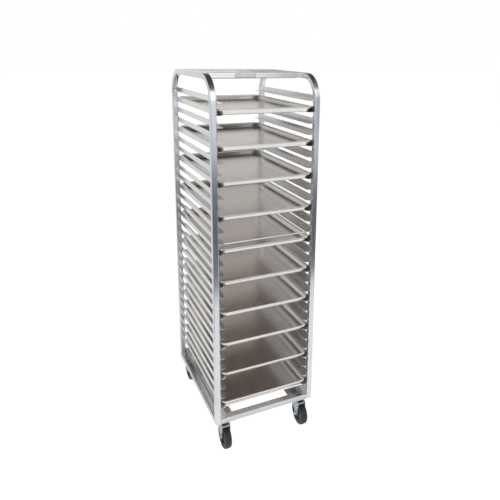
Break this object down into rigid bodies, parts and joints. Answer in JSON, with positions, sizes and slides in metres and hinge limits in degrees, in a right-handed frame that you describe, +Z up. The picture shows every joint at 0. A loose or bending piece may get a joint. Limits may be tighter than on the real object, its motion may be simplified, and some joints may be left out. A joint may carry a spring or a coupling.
{
  "type": "sheet pan rack",
  "caption": "Tall mobile bakery rack of bent square tube with angle runners on both sides, a curved top, swivel casters and sliding sheet pans.",
  "frame": {"origin": "on the floor under the middle of the rack", "axes": "+Z up, the front of the rack faces -Y, +X to the right seen from the front"},
  "size_m": [0.508, 0.721, 1.773],
  "materials": {
    "tube": "satin drawn tube",
    "runner": "satin extruded angle",
    "base": "satin extruded angle with fine die lines",
    "pan": "rolled sheet, lightly used",
    "label": "blank label plate",
    "zinc": "blue zinc plated steel",
    "steel": "bright zinc plated fastener",
    "wheel_core": "moulded nylon",
    "tyre": "solid rubber, slightly dusty"
  },
  "bodies": {
    "rack": {"left_side_frame": "tube", "right_side_frame": "tube", "front_top_crossbar": "tube", "rear_top_crossbar": "tube", "label_plate": "label", "front_tie_rods": "tube", "left_runners": "runner", "right_runners": "runner", "front_base_angle": "base", "rear_base_angle": "base", "left_base_angle": "base", "right_base_angle": "base", "caster_bolts": "steel", "caster_nuts": "steel", "front_left_top_plate": "zinc", "front_left_swivel_balls": "steel", "front_left_kingpin": "steel", "front_right_top_plate": "zinc", "front_right_swivel_balls": "steel", "front_right_kingpin": "steel", "rear_left_top_plate": "zinc", "rear_left_swivel_balls": "steel", "rear_left_kingpin": "steel", "rear_right_top_plate": "zinc", "rear_right_swivel_balls": "steel", "rear_right_kingpin": "steel"},
    "front_left_swivel": {"front_left_fork": "zinc", "front_left_axle_bolt": "steel", "front_left_axle_nut": "steel", "front_left_axle_sleeve": "steel"},
    "front_left_wheel": {"front_left_wheel_core": "wheel_core", "front_left_tyre": "tyre"},
    "front_right_swivel": {"front_right_fork": "zinc", "front_right_axle_bolt": "steel", "front_right_axle_nut": "steel", "front_right_axle_sleeve": "steel"},
    "front_right_wheel": {"front_right_wheel_core": "wheel_core", "front_right_tyre": "tyre"},
    "rear_left_swivel": {"rear_left_fork": "zinc", "rear_left_axle_bolt": "steel", "rear_left_axle_nut": "steel", "rear_left_axle_sleeve": "steel"},
    "rear_left_wheel": {"rear_left_wheel_core": "wheel_core", "rear_left_tyre": "tyre"},
    "rear_right_swivel": {"rear_right_fork": "zinc", "rear_right_axle_bolt": "steel", "rear_right_axle_nut": "steel", "rear_right_axle_sleeve": "steel"},
    "rear_right_wheel": {"rear_right_wheel_core": "wheel_core", "rear_right_tyre": "tyre"},
    "pan_01": {"sheet_pan_01": "pan"},
    "pan_02": {"sheet_pan_02": "pan"},
    "pan_03": {"sheet_pan_03": "pan"},
    "pan_04": {"sheet_pan_04": "pan"},
    "pan_05": {"sheet_pan_05": "pan"},
    "pan_06": {"sheet_pan_06": "pan"},
    "pan_07": {"sheet_pan_07": "pan"},
    "pan_08": {"sheet_pan_08": "pan"},
    "pan_09": {"sheet_pan_09": "pan"},
    "pan_10": {"sheet_pan_10": "pan"}
  },
  "joints": [
    {"name": "front_left_swivel_turn", "type": "hinge", "parent": "rack", "child": "front_left_swivel", "pos_m": [-0.202, -0.264, 0.1346], "axis": [0, 0, 1], "continuous": true},
    {"name": "front_left_wheel_roll", "type": "hinge", "parent": "front_left_swivel", "child": "front_left_wheel", "pos_m": [-0.202, -0.3, 0.0605], "axis": [1, 0, 0], "continuous": true},
    {"name": "front_right_swivel_turn", "type": "hinge", "parent": "rack", "child": "front_right_swivel", "pos_m": [0.202, -0.264, 0.1346], "axis": [0, 0, 1], "continuous": true},
    {"name": "front_right_wheel_roll", "type": "hinge", "parent": "front_right_swivel", "child": "front_right_wheel", "pos_m": [0.202, -0.3, 0.0605], "axis": [1, 0, 0], "continuous": true},
    {"name": "rear_left_swivel_turn", "type": "hinge", "parent": "rack", "child": "rear_left_swivel", "pos_m": [-0.202, 0.264, 0.1346], "axis": [0, 0, 1], "continuous": true},
    {"name": "rear_left_wheel_roll", "type": "hinge", "parent": "rear_left_swivel", "child": "rear_left_wheel", "pos_m": [-0.202, 0.3, 0.0605], "axis": [1, 0, 0], "continuous": true},
    {"name": "rear_right_swivel_turn", "type": "hinge", "parent": "rack", "child": "rear_right_swivel", "pos_m": [0.202, 0.264, 0.1346], "axis": [0, 0, 1], "continuous": true},
    {"name": "rear_right_wheel_roll", "type": "hinge", "parent": "rear_right_swivel", "child": "rear_right_wheel", "pos_m": [0.202, 0.3, 0.0605], "axis": [1, 0, 0], "continuous": true},
    {"name": "pan_01_slide", "type": "slide", "parent": "rack", "child": "pan_01", "axis": [0, -1, 0], "range_m": [0, 0.68]},
    {"name": "pan_02_slide", "type": "slide", "parent": "rack", "child": "pan_02", "axis": [0, -1, 0], "range_m": [0, 0.68]},
    {"name": "pan_03_slide", "type": "slide", "parent": "rack", "child": "pan_03", "axis": [0, -1, 0], "range_m": [0, 0.68]},
    {"name": "pan_04_slide", "type": "slide", "parent": "rack", "child": "pan_04", "axis": [0, -1, 0], "range_m": [0, 0.68]},
    {"name": "pan_05_slide", "type": "slide", "parent": "rack", "child": "pan_05", "axis": [0, -1, 0], "range_m": [0, 0.68]},
    {"name": "pan_06_slide", "type": "slide", "parent": "rack", "child": "pan_06", "axis": [0, -1, 0], "range_m": [0, 0.68]},
    {"name": "pan_07_slide", "type": "slide", "parent": "rack", "child": "pan_07", "axis": [0, -1, 0], "range_m": [0, 0.68]},
    {"name": "pan_08_slide", "type": "slide", "parent": "rack", "child": "pan_08", "axis": [0, -1, 0], "range_m": [0, 0.68]},
    {"name": "pan_09_slide", "type": "slide", "parent": "rack", "child": "pan_09", "axis": [0, -1, 0], "range_m": [0, 0.68]},
    {"name": "pan_10_slide", "type": "slide", "parent": "rack", "child": "pan_10", "axis": [0, -1, 0], "range_m": [0, 0.68]}
  ]
}
